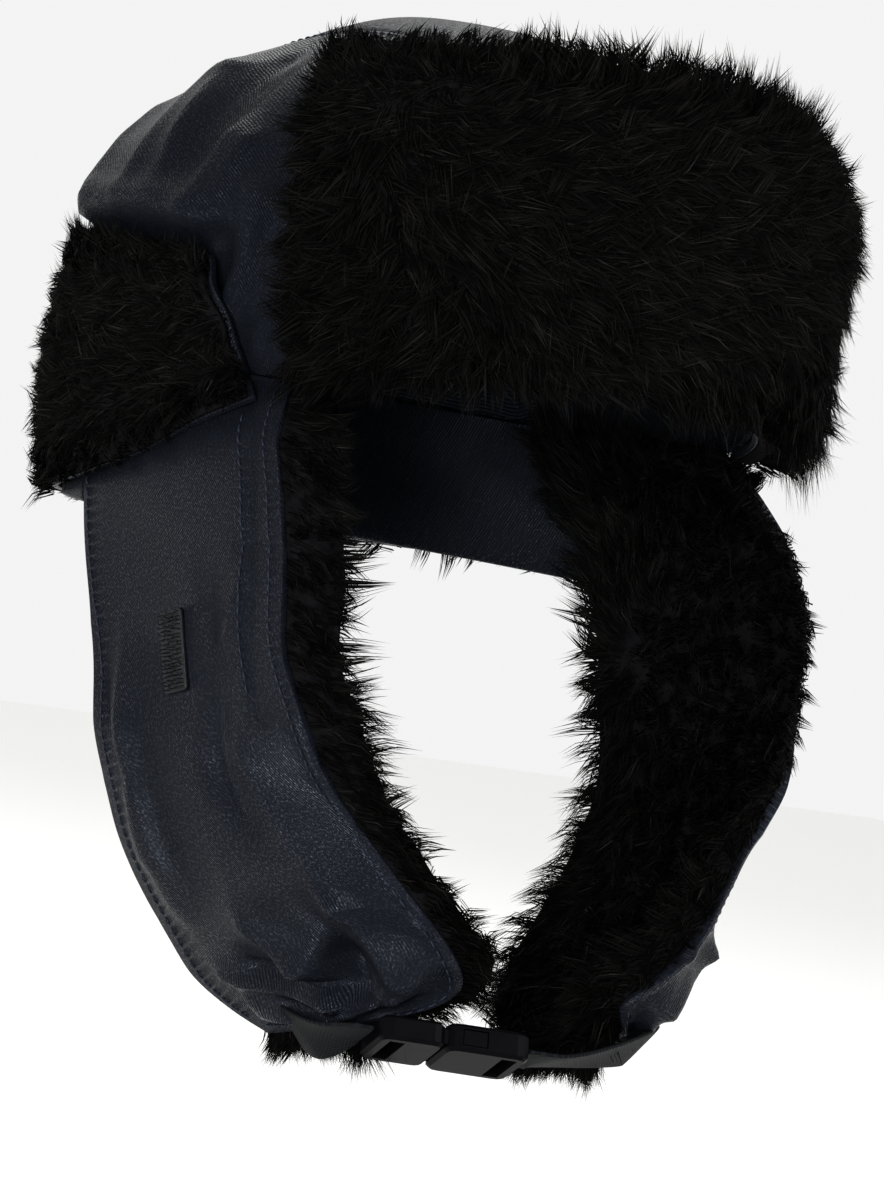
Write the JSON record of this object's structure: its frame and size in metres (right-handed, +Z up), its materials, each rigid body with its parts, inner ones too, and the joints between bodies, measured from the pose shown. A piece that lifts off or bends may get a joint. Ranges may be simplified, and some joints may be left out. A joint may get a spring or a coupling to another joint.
{
  "type": "trapper hat",
  "caption": "Winter trapper hat: sewn cloth crown, turned-up faux-fur front flap and back cuff, fur-lined ear flaps worn down and a chin strap with a side-release buckle.",
  "frame": {"origin": "the point of the crown's inner top that bears on the head", "axes": "+Z up, -Y out of the wearer's face, -X towards the wearer's right side"},
  "size_m": [0.2061, 0.24, 0.2804],
  "materials": {
    "shell_cloth": "satin twill, dark navy",
    "fur": "black faux fur",
    "webbing": "black woven webbing",
    "buckle_plastic": "glossy black",
    "hook_tape": "rough hook-and-loop tape"
  },
  "bodies": {
    "root": {"crown_centre_strip": "shell_cloth", "crown_side_panel_right": "shell_cloth", "crown_side_panel_left": "shell_cloth", "front_flap_shell": "shell_cloth", "front_flap_fur": "fur", "back_cuff_shell": "shell_cloth", "back_cuff_fur": "fur", "neck_band": "shell_cloth", "ear_flap_shell_right": "shell_cloth", "ear_flap_lining_right": "fur", "ear_flap_shell_left": "shell_cloth", "ear_flap_lining_left": "fur", "hook_patch_right": "hook_tape", "hook_patch_left": "hook_tape", "buckle_socket": "buckle_plastic", "buckle_plug": "buckle_plastic", "strap_right": "webbing", "strap_left": "webbing"}
  },
  "joints": []
}
